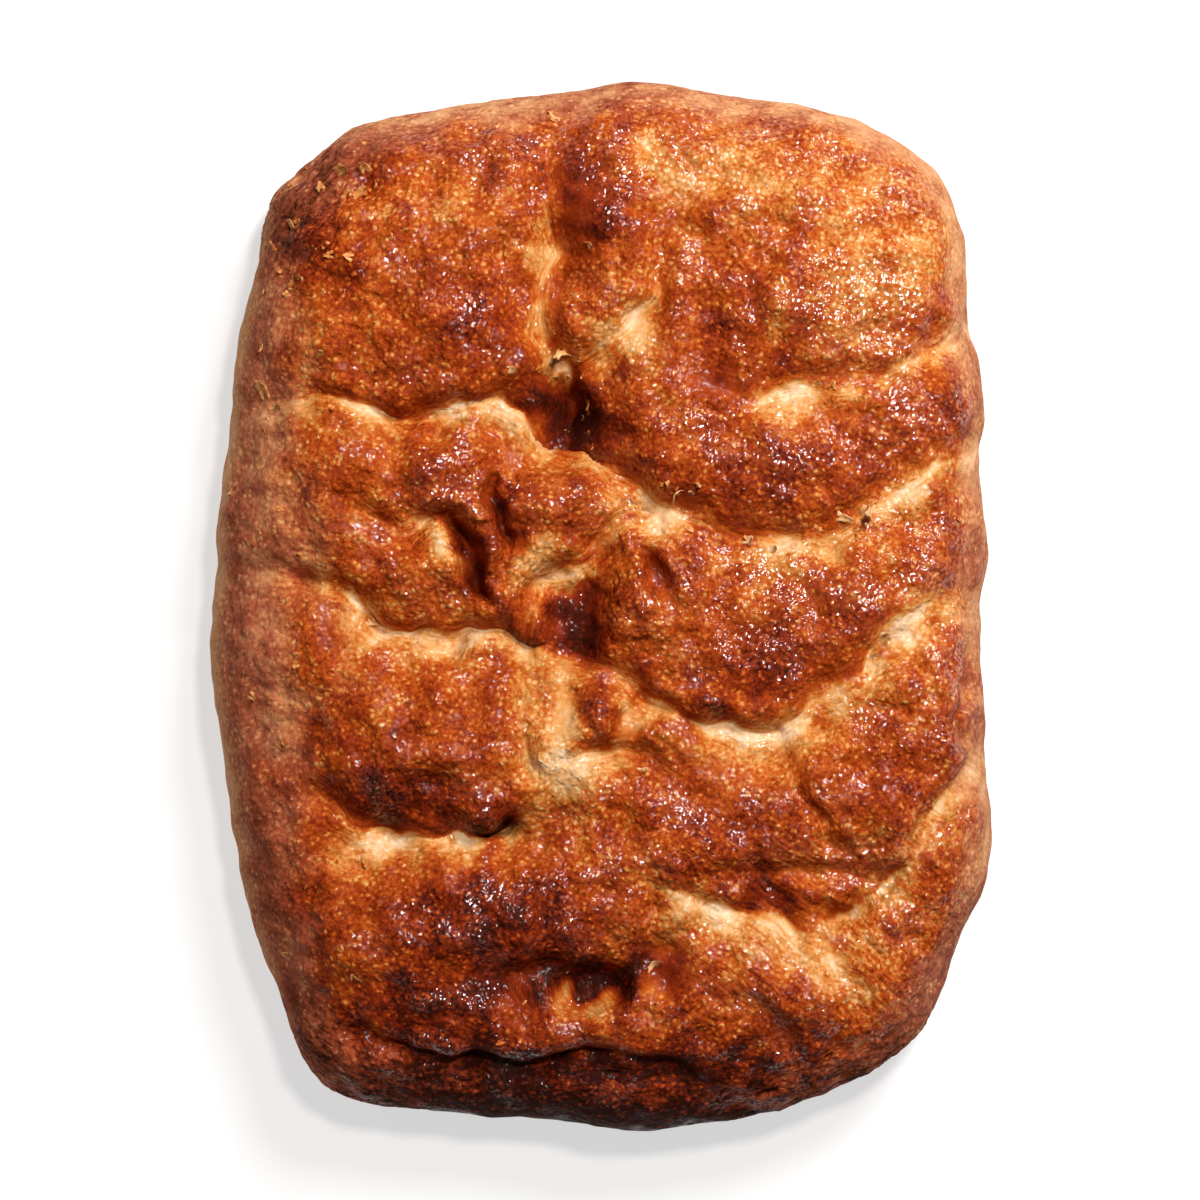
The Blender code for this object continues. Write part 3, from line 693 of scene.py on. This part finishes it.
def dryness(plain, inward, angle):
    """How dusty and oil-free the crust is: the walls and the side away from the oven's heat."""
    x, y, z = plain.T
    toward_left = np.clip(-np.cos(angle), 0, 1)
    toward_foot = np.clip(-np.sin(angle), 0, 1)
    width = DUSTY_RIM + DUSTY_LEFT * toward_left ** 2 + DUSTY_FOOT * toward_foot
    width *= 1 + waves(x, y, z, DUSTY_WAVES)
    dusty = 1 - soft_step(inward, 0.35 * width, 1.2 * width)
    return dusty * (1 - FOOT_OILED * soft_step(toward_foot, 0.8, 1.0))


# Mean weight of the oil film and its waves: length, height, seed
FILM_MEAN = 0.27
FILM_WAVES = [(15.0, 0.3, 91), (6.5, 0.28, 92)]

# Share of the oil, and of the fine grain, that the dusty rim, pale dough and smooth folds lose
DRY_OIL_LOSS = 0.9
PALE_OIL_LOSS = 0.5
SMOOTH_OIL_LOSS = 0.5
DRY_GRAIN_LOSS = 0.45
PALE_GRAIN_LOSS = 0.3
SMOOTH_GRAIN_LOSS = 0.75


def oil_film(plain, dry, pale, smooth):
    """Where brushed oil has stayed on the crust and glints."""
    x, y, z = plain.T
    film = FILM_MEAN + waves(x, y, z, FILM_WAVES)
    for pool in OIL_POOLS:
        film += pool.amount * np.exp(-spot(x, y, pool))
    film = np.clip(film, 0, 1) * (1 - DRY_OIL_LOSS * dry)
    return film * (1 - PALE_OIL_LOSS * pale) * (1 - SMOOTH_OIL_LOSS * smooth)


def cut_block(across, along, up):
    """A two-unit cube cut into even cells along each direction, its underside left as one face."""
    bm = bmesh.new()
    bmesh.ops.create_cube(bm, size=2)
    under = [face for face in bm.faces if face.normal.z < -0.5]
    bmesh.ops.delete(bm, geom=under, context="FACES_ONLY")
    for axis, cells in enumerate((across, along, up)):
        edges = [e for e in bm.edges if abs(e.verts[0].co[axis] - e.verts[1].co[axis]) > 1]
        bmesh.ops.subdivide_edges(bm, edges=edges, cuts=cells - 1, use_grid_fill=True)
    rim = [edge for edge in bm.edges if edge.is_boundary]
    bmesh.ops.contextual_create(bm, geom=rim)
    bmesh.ops.recalc_face_normals(bm, faces=bm.faces)
    return bm


def rows_of(items, field):
    """A vector field of every item, one to a row."""
    flat = np.empty(len(items) * 3)
    items.foreach_get(field, flat)
    return flat.reshape(-1, 3)


def place(mesh, rows):
    """Move the vertices of a mesh to the given rows."""
    mesh.vertices.foreach_set("co", np.ascontiguousarray(rows).ravel())
    mesh.update()


def store(mesh, name, values):
    """Keep a number or a vector for each vertex under a name that materials can read."""
    kind, field = ("FLOAT", "value") if values.ndim == 1 else ("FLOAT_VECTOR", "vector")
    layer = mesh.attributes.new(name, kind, "POINT")
    layer.data.foreach_set(field, np.ascontiguousarray(values, dtype=np.float32).ravel())


def add_object(name, data):
    """A new object linked to the scene."""
    added = bpy.data.objects.new(name, data)
    bpy.context.scene.collection.objects.link(added)
    return added


def linear(code):
    """An sRGB hex colour as linear RGBA."""
    channels = [int(code[start:start + 2], 16) / 255 for start in (1, 3, 5)]
    return tuple(c / 12.92 if c <= 0.04045 else ((c + 0.055) / 1.055) ** 2.4 for c in channels) + (1.0,)


def add_node(tree, kind, sources=None, output=0, stops=(), **settings):
    """One shader node: settings are its own fields, sources link or set its inputs, and stops are a ramp's
    (position, sRGB hex) pairs. Gives one of its outputs."""
    node = tree.nodes.new(kind)
    for name, value in settings.items():
        setattr(node, name, value)
    for socket, source in (sources or {}).items():
        if isinstance(source, bpy.types.NodeSocket):
            tree.links.new(source, node.inputs[socket])
        else:
            node.inputs[socket].default_value = source
    for number, (position, code) in enumerate(stops):
        element = node.color_ramp.elements[number] if number < 2 else node.color_ramp.elements.new(1.0)
        element.position = position
        element.color = linear(code)
    return node.outputs[output]


# How patterns shift the browning: by what share, and the value that leaves it as it is
GRAIN_SHADE = (-0.78, 0.5)
GOLDEN_SHADE = (-0.26, 0.15)
CROWN_SHADE = (-0.08, 0.5)
MOTTLE_SHADE = (0.2, 0.5)
THREAD_SHADE = (0.9, 0.03)
THREAD_MIDDLE = 0.48
DUSTY_ROUGHENS = 0.26
BLISTER_WANDER = 0.0012
SWELL_AGAINST_GRAIN = 1.9
DROPLETS_AGAINST_GRAIN = 1.1


def crust_material(settings):
    """Wheat crust, baked and brushed with oil.

    Maillard browning runs from cream in the folds through gold and russet to dark mahogany. Pinhead
    blisters stand on the skin, golden on top and darker between, and the oil on them gives small sharp
    glints. The flour-dry walls stay dull and dusty, and stretched dough shows threads.
    """
    material = bpy.data.materials.new("oven_browned_oiled_crust")
    material.use_nodes = True
    tree = material.node_tree
    node = partial(add_node, tree)
    shader = tree.nodes["Principled BSDF"]
    where = node("ShaderNodeTexCoord", output="Object")
    where = node("ShaderNodeMapping", {"Vector": where, "Rotation": (0.5, 0.9, 0.4)})
    # The browning attribute holds the baked tone with painted shade and painted light laid in at the
    # vertices
    baked, dry, grainy, streaked, oily = (node("ShaderNodeAttribute", attribute_name=name, output="Fac")
                                          for name in ("browning", "dryness", "grain", "streak", "oil"))
    skin = node("ShaderNodeAttribute", attribute_name="stretch", output="Vector")

    mottle, grain, swell, knobs, droplets, fibres = (
        node("ShaderNodeTexNoise", {"Vector": over, "Scale": 1 / size, "Detail": detail,
                                    "Roughness": roughness})
        for over, size, detail, roughness in (
            (where, settings.mottle_size, 3.0, 0.65),
            (where, settings.grain_size, 2.0, 0.7),
            (where, SWELL_AGAINST_GRAIN * settings.grain_size, 0.0, 0.5),
            (where, settings.mottle_size, 1.0, 0.5),
            (where, DROPLETS_AGAINST_GRAIN * settings.grain_size, 0.0, 0.5),
            (skin, settings.fibre_size, 3.0, 0.65)))
    wander = node("ShaderNodeVectorMath", {
        0: swell.node.outputs["Color"], 1: (BLISTER_WANDER,) * 3, 2: where}, operation="MULTIPLY_ADD")
    blister = node("ShaderNodeTexVoronoi", {"Vector": wander, "Scale": 1 / settings.blister_size},
                   output="Distance")
    crown = node("ShaderNodeMapRange", {"Value": blister, "From Min": 0.1, "From Max": 0.55, "To Min": 1.0,
                                        "To Max": 0.0})
    golden = node("ShaderNodeMapRange", {"Value": blister.node.outputs["Color"], "From Min": 0.5,
                                         "From Max": 0.62})
    golden = node("ShaderNodeMath", {0: golden, 1: crown}, operation="MULTIPLY")
    threads = node("ShaderNodeMath", {0: fibres, 1: streaked}, operation="MULTIPLY")
    combed = node("ShaderNodeMath", {0: streaked, 1: -THREAD_MIDDLE, 2: threads}, operation="MULTIPLY_ADD")

    fine = 0.0
    for pattern, (amount, middle) in ((grain, GRAIN_SHADE), (golden, GOLDEN_SHADE), (crown, CROWN_SHADE)):
        shift = node("ShaderNodeMath", {0: pattern, 1: middle}, operation="SUBTRACT")
        fine = node("ShaderNodeMath", {0: shift, 1: amount, 2: fine}, operation="MULTIPLY_ADD")
    tone = node("ShaderNodeMath", {0: fine, 1: grainy, 2: baked}, operation="MULTIPLY_ADD")
    for pattern, (amount, middle) in ((mottle, MOTTLE_SHADE), (combed, THREAD_SHADE)):
        shift = node("ShaderNodeMath", {0: pattern, 1: middle}, operation="SUBTRACT")
        tone = node("ShaderNodeMath", {0: shift, 1: amount, 2: tone}, operation="MULTIPLY_ADD")
    oiled = node("ShaderNodeValToRGB", {"Fac": tone}, stops=OILED_CRUST)
    dusty = node("ShaderNodeValToRGB", {"Fac": tone}, stops=DUSTY_CRUST)
    colour = node("ShaderNodeMix", {"Factor": dry, "A": oiled, "B": dusty}, data_type="RGBA", output=2)
    tree.links.new(colour, shader.inputs["Base Color"])

    rough = node("ShaderNodeMapRange", {"Value": mottle, "From Min": 0.3, "From Max": 0.7, "To Min": 0.48,
                                        "To Max": 0.64})
    rough = node("ShaderNodeMath", {0: dry, 1: DUSTY_ROUGHENS, 2: rough}, operation="MULTIPLY_ADD",
                 use_clamp=True)
    tree.links.new(rough, shader.inputs["Roughness"])
    beads = node("ShaderNodeMapRange", {"Value": grain, "From Min": 0.4, "From Max": 0.48})
    coat = node("ShaderNodeMath", {0: oily, 1: settings.oil_shine}, operation="MULTIPLY")
    coat = node("ShaderNodeMath", {0: coat, 1: beads}, operation="MULTIPLY")
    tree.links.new(coat, shader.inputs["Coat Weight"])
    shader.inputs["Coat Roughness"].default_value = 0.1
    shader.inputs["Coat IOR"].default_value = 1.9
    shader.inputs["IOR"].default_value = 1.45
    shader.inputs["Specular IOR Level"].default_value = 0.05

    raised = node("ShaderNodeMath", {0: crown, 1: 0.45, 2: swell}, operation="MULTIPLY_ADD")
    raised = node("ShaderNodeMath", {0: raised, 1: grainy}, operation="MULTIPLY")
    bump = node("ShaderNodeBump", {"Height": raised, "Strength": 0.7, "Distance": 0.0007})
    bump = node("ShaderNodeBump", {"Height": threads, "Strength": 0.8, "Distance": 0.0008, "Normal": bump})
    bump = node("ShaderNodeBump", {"Height": knobs, "Strength": 0.5, "Distance": 0.0014, "Normal": bump})
    tree.links.new(bump, shader.inputs["Normal"])
    wet = node("ShaderNodeBump", {"Height": droplets, "Strength": 1.0, "Distance": 0.0008})
    wet = node("ShaderNodeBump", {"Height": knobs, "Strength": 0.7, "Distance": 0.0014, "Normal": wet})
    tree.links.new(wet, shader.inputs["Coat Normal"])
    return material


def flake_material(settings):
    """Dried wheat skin torn as the loaf rose, cream where it was under the crust and gold outside.

    It is thin and dull, with toasted spots, so the scraps read lighter and drier than the oiled crust.
    """
    material = bpy.data.materials.new("torn_dried_dough_skin")
    material.use_nodes = True
    tree = material.node_tree
    node = partial(add_node, tree)
    shader = tree.nodes["Principled BSDF"]
    where = node("ShaderNodeTexCoord", output="Object")
    bare = node("ShaderNodeAttribute", attribute_name="bare", output="Fac")
    toast = node("ShaderNodeTexNoise", {"Vector": where, "Scale": 1 / settings.grain_size, "Detail": 3.0})
    tone = node("ShaderNodeMath", {0: bare, 1: -0.36, 2: toast}, operation="MULTIPLY_ADD")
    colour = node("ShaderNodeValToRGB", {"Fac": tone}, stops=OILED_CRUST)
    tree.links.new(colour, shader.inputs["Base Color"])
    shader.inputs["Roughness"].default_value = 0.6
    shader.inputs["Specular IOR Level"].default_value = 0.2
    grain = node("ShaderNodeBump", {"Height": toast, "Strength": 0.5, "Distance": 0.0004})
    tree.links.new(grain, shader.inputs["Normal"])
    return material


def make_crust(settings):
    """The whole crust as one closed mesh standing for the plain solid."""
    block = cut_block(settings.cells_across, settings.cells_along, settings.cells_up)
    mesh = bpy.data.meshes.new("focaccia_crust")
    block.to_mesh(mesh)
    block.free()
    u, v, raw_level = rows_of(mesh.vertices, "co").T
    plain, inward, angle = pillow(u, v, (raw_level + 1) / 2)
    place(mesh, plain)
    outward = rows_of(mesh.vertex_normals, "vector")
    height, lean, pale, smooth, stretch, streak = crust_relief(plain, inward, settings)
    z = plain[:, 2]
    up_wall = np.clip(z / WALL_FADE_HEIGHT, 0, 1) ** WALL_FADE_POWER
    on_top = np.clip((z - WIDEST_HEIGHT) / (CROWN_HEIGHT - WIDEST_HEIGHT), 0, 1)
    share = up_wall * (WALL_RELIEF + (1 - WALL_RELIEF) * on_top)
    shaped = plain + outward * (height * share)[:, None] + lean * share[:, None]
    shaped[:, 2] = np.maximum(shaped[:, 2], 0)
    low, high = (np.array(corner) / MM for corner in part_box(NODE))
    middle = (shaped.max(axis=0) + shaped.min(axis=0)) / 2
    shaped[:, :2] += ((low + high) / 2 - middle)[:2]
    place(mesh, shaped * MM)
    dry = dryness(plain, inward, angle)
    # The browning kept here also holds painted shade in the hollows, folds, left wall and foot, and painted
    # light
    store(mesh, "browning", browning(plain, inward, angle, height, pale, smooth))
    store(mesh, "dryness", dry)
    grain = (1 - SMOOTH_GRAIN_LOSS * smooth) * (1 - DRY_GRAIN_LOSS * dry) * (1 - PALE_GRAIN_LOSS * pale)
    store(mesh, "grain", grain)
    store(mesh, "oil", oil_film(plain, dry, pale, smooth))
    store(mesh, "streak", streak)
    store(mesh, "stretch", stretch * MM)
    mesh.polygons.foreach_set("use_smooth", [len(face.vertices) == 4 for face in mesh.polygons])
    mesh.materials.append(crust_material(settings))
    crust = add_object("focaccia_crust", mesh)
    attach(crust, "root")
    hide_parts(NODE)
    return crust


def scattered_flakes():
    """Small crumbs of skin near where the crust has torn, drawn at random."""
    draw = np.random.default_rng(SCRAP_SEED)
    for x, y, across, along, number in FLAKE_SPREAD:
        for _ in range(number):
            size = draw.uniform(*SCRAP_LENGTH)
            yield Flake(x + across * draw.normal() / 2, y + along * draw.normal() / 2, size,
                        size * draw.uniform(*SCRAP_WIDTH), draw.uniform(0, 360), draw.uniform(*SCRAP_TILT),
                        draw.uniform(*SCRAP_CURL), draw.uniform(*SCRAP_BARE))


def flake_mesh(flake, seed):
    """One scrap: a grid tapered to its free end, rolled along its length and given a thickness."""
    draw = np.random.default_rng(seed)
    bm = bmesh.new()
    bmesh.ops.create_grid(bm, x_segments=FLAKE_CELLS, y_segments=FLAKE_CELLS // 2, size=0.5)
    roll = math.radians(flake.curl)
    wave = draw.uniform(0, 2 * math.pi, size=3)
    for vertex in bm.verts:
        along, across = vertex.co.x + 0.5, vertex.co.y
        ragged = 1 + 0.22 * math.sin(7 * along + wave[0]) + 0.16 * math.sin(13 * along + wave[1])
        across *= ragged * (1 - FLAKE_TAPER * along ** 2)
        turned = roll * along
        radius = flake.length / max(roll, 0.01)
        vertex.co = (radius * math.sin(turned), flake.width * across,
                     radius * (1 - math.cos(turned)) + 0.12 * flake.width * math.sin(9 * across + wave[2]))
    bmesh.ops.solidify(bm, geom=bm.faces[:], thickness=FLAKE_THICKNESS)
    bmesh.ops.recalc_face_normals(bm, faces=bm.faces)
    bmesh.ops.rotate(bm, verts=bm.verts, matrix=Matrix.Rotation(math.radians(-flake.tilt), 3, "Y"))
    bmesh.ops.rotate(bm, verts=bm.verts, matrix=Matrix.Rotation(math.radians(flake.turn), 3, "Z"))
    return bm


def make_flakes(settings):
    """Every scrap of torn skin in one mesh, each set on the dressed crust where it lies."""
    crust = bpy.data.objects["focaccia_crust"].data
    surface = BVHTree.FromPolygons([vertex.co / MM for vertex in crust.vertices],
                                   [face.vertices for face in crust.polygons])
    joined = bmesh.new()
    bare = joined.verts.layers.float.new("bare")
    for seed, flake in enumerate([*FLAKES, *scattered_flakes()]):
        above = Vector((flake.x, flake.y, FLAKE_DROP_HEIGHT))
        landing, way, _, _ = surface.ray_cast(above, Vector((0, 0, -1)))
        if landing is None or way.z < STEEPEST_UNDER_FLAKE:
            continue
        scrap = flake_mesh(flake, seed)
        lie = Vector((0, 0, 1)).rotation_difference(way).to_matrix()
        bmesh.ops.rotate(scrap, verts=scrap.verts, matrix=lie)
        bmesh.ops.translate(scrap, verts=scrap.verts, vec=landing - FLAKE_SINK * way)
        copy = bpy.data.meshes.new("scrap")
        scrap.to_mesh(copy)
        scrap.free()
        first = len(joined.verts)
        joined.from_mesh(copy)
        bpy.data.meshes.remove(copy)
        joined.verts.ensure_lookup_table()
        for vertex in joined.verts[first:]:
            vertex[bare] = flake.bare
    bmesh.ops.scale(joined, vec=(MM, MM, MM), verts=joined.verts)
    mesh = bpy.data.meshes.new("torn_skin")
    joined.to_mesh(mesh)
    joined.free()
    mesh.polygons.foreach_set("use_smooth", [True] * len(mesh.polygons))
    mesh.materials.append(flake_material(settings))
    flakes = add_object("torn_skin", mesh)
    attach(flakes, "root")


def make_floor(settings):
    """White translucent sheet, evenly lit from below, as on a light table."""
    mesh = bpy.data.meshes.new("floor")
    bm = bmesh.new()
    bmesh.ops.create_grid(bm, x_segments=1, y_segments=1, size=FLOOR_HALF_WIDTH)
    bm.to_mesh(mesh)
    bm.free()
    material = bpy.data.materials.new("opal_acrylic_light_table")
    material.use_nodes = True
    shader = material.node_tree.nodes["Principled BSDF"]
    shader.inputs["Base Color"].default_value = (*settings.floor, 1.0)
    shader.inputs["Roughness"].default_value = 0.95
    shader.inputs["Specular IOR Level"].default_value = 0.1
    shader.inputs["Emission Color"].default_value = (1, 1, 1, 1)
    shader.inputs["Emission Strength"].default_value = settings.floor_glow
    mesh.materials.append(material)
    floor = add_object("floor", mesh)


def aim(holder, target):
    """Turn a camera or light so that it looks at a point."""
    holder.rotation_euler = (Vector(target) - holder.location).to_track_quat("-Z", "Y").to_euler()


def make_lights(settings):
    """A soft key from the upper right, a small glint light above it and an even white surround."""
    key = ("key", settings.key_height, settings.key_size, settings.key_power, (1, 1, 1))
    glint = ("glint", settings.glint_height, settings.glint_size, settings.glint_power,
             settings.glint_colour)
    for name, height, size, power, colour in (key, glint):
        lamp = bpy.data.lights.new(name, "AREA")
        lamp.shape = "DISK"
        lamp.size = size
        lamp.energy = power
        lamp.color = colour
        light = add_object(name, lamp)
        flat = LIGHT_REACH * math.cos(height)
        light.location = (flat * math.sin(settings.key_bearing), flat * math.cos(settings.key_bearing),
                          LIGHT_REACH * math.sin(height))
        aim(light, LIGHT_AIM)
    world = bpy.data.worlds.new("white_surround")
    world.use_nodes = True
    world.node_tree.nodes["Background"].inputs["Color"].default_value = (1, 1, 1, 1)
    world.node_tree.nodes["Background"].inputs["Strength"].default_value = settings.fill
    bpy.context.scene.world = world


def make_camera(settings):
    """Straight down over the loaf, as the photograph was taken, with +Y at the top of the picture."""
    lens = bpy.data.cameras.new("camera")
    lens.lens = settings.lens
    lens.sensor_width = SENSOR_WIDTH_MM
    lens.clip_start = 0.05
    camera = add_object("camera", lens)
    rise = settings.field * settings.lens / SENSOR_WIDTH_MM
    camera.location = (*CAMERA_OFFSET, WIDEST_HEIGHT * MM + rise)
    bpy.context.scene.camera = camera


class FOCACCIA_OT_crust(bpy.types.Operator):
    """Build the browned crust of the loaf"""
    bl_idname = "focaccia.crust"
    bl_label = "Crust"

    def execute(self, context):
        make_crust(context.scene.focaccia_crust)
        return {"FINISHED"}


class FOCACCIA_OT_flakes(bpy.types.Operator):
    """Set the torn scraps of skin on the crust"""
    bl_idname = "focaccia.flakes"
    bl_label = "Torn Skin"

    def execute(self, context):
        if "focaccia_crust" not in bpy.data.objects:
            raise RuntimeError("build the crust first, since the scraps are set on it")
        make_flakes(context.scene.focaccia_crust)
        return {"FINISHED"}


class FOCACCIA_OT_stage(bpy.types.Operator):
    """Build the floor, the lights and the camera"""
    bl_idname = "focaccia.stage"
    bl_label = "Stage"

    def execute(self, context):
        settings = context.scene.focaccia_stage
        make_floor(settings)
        make_lights(settings)
        make_camera(settings)
        context.scene.view_settings.view_transform = "Standard"
        return {"FINISHED"}


class FOCACCIA_PT_panel(bpy.types.Panel):
    """The loaf's operators and settings"""
    bl_label = "Focaccia"
    bl_idname = "FOCACCIA_PT_panel"
    bl_space_type = "VIEW_3D"
    bl_region_type = "UI"
    bl_category = "Focaccia"

    def draw(self, context):
        layout = self.layout
        for settings, operators in ((context.scene.focaccia_crust, ("focaccia.crust", "focaccia.flakes")),
                                    (context.scene.focaccia_stage, ("focaccia.stage",))):
            box = layout.box()
            for name in settings.__annotations__:
                box.prop(settings, name)
            for operator in operators:
                box.operator(operator)


CLASSES = (CrustSettings, StageSettings, FOCACCIA_OT_crust, FOCACCIA_OT_flakes, FOCACCIA_OT_stage,
           FOCACCIA_PT_panel)


def register():
    for cls in CLASSES:
        bpy.utils.register_class(cls)
    bpy.types.Scene.focaccia_crust = PointerProperty(type=CrustSettings)
    bpy.types.Scene.focaccia_stage = PointerProperty(type=StageSettings)


def unregister():
    del bpy.types.Scene.focaccia_stage
    del bpy.types.Scene.focaccia_crust
    for cls in reversed(CLASSES):
        bpy.utils.unregister_class(cls)


def main():
    """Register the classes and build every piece."""
    register()
    bpy.ops.focaccia.crust()
    bpy.ops.focaccia.flakes()
    bpy.ops.focaccia.stage()


if __name__ == "__main__":
    main()
